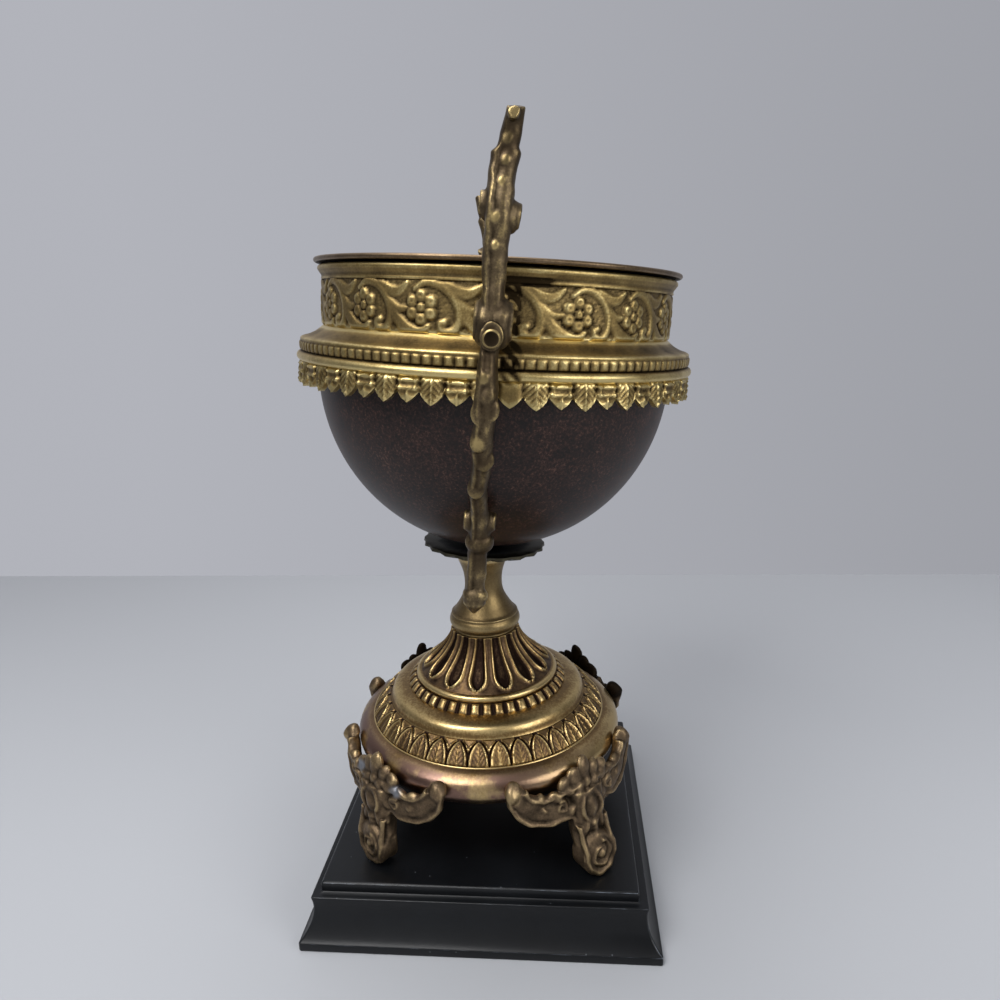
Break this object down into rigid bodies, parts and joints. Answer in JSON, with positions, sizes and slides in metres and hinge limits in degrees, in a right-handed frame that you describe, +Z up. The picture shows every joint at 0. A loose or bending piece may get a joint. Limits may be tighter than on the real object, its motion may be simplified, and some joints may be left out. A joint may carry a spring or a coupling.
{
  "type": "mantel urn",
  "caption": "Footed brass mantel urn: a dark hollow bowl with a scrolled collar, lift-out liner and scroll handles on a turned stem, domed base, scroll feet and a black moulded plinth.",
  "frame": {"origin": "middle of the plinth's underside", "axes": "+Z up, +X towards the front handle, +Y to the right of a viewer who faces that handle"},
  "size_m": [0.1918, 0.1669, 0.3184],
  "materials": {
    "ebonised_wood": "black painted, satin",
    "brown_bronze": "cast, brown patina",
    "coppery_brass": "lacquered, coppery in places",
    "satin_brass": "turned, satin",
    "blackened_bronze": "blackened, dull",
    "dark_lacquer": "glossy mottled dark brown",
    "gilt_brass": "cast, gilt lacquer with dark recesses",
    "rim_brass": "spun, aged",
    "dull_brass": "cast, dull olive patina"
  },
  "bodies": {
    "root": {"plinth": "ebonised_wood", "foot_front_right": "brown_bronze", "foot_back_right": "brown_bronze", "foot_back_left": "brown_bronze", "foot_front_left": "brown_bronze", "domed_base": "coppery_brass", "stem": "satin_brass", "dish": "blackened_bronze", "bowl": "dark_lacquer", "collar": "gilt_brass", "liner": "rim_brass", "pin_front": "dull_brass", "handle_front": "dull_brass", "pin_back": "dull_brass", "handle_back": "dull_brass"}
  },
  "joints": []
}
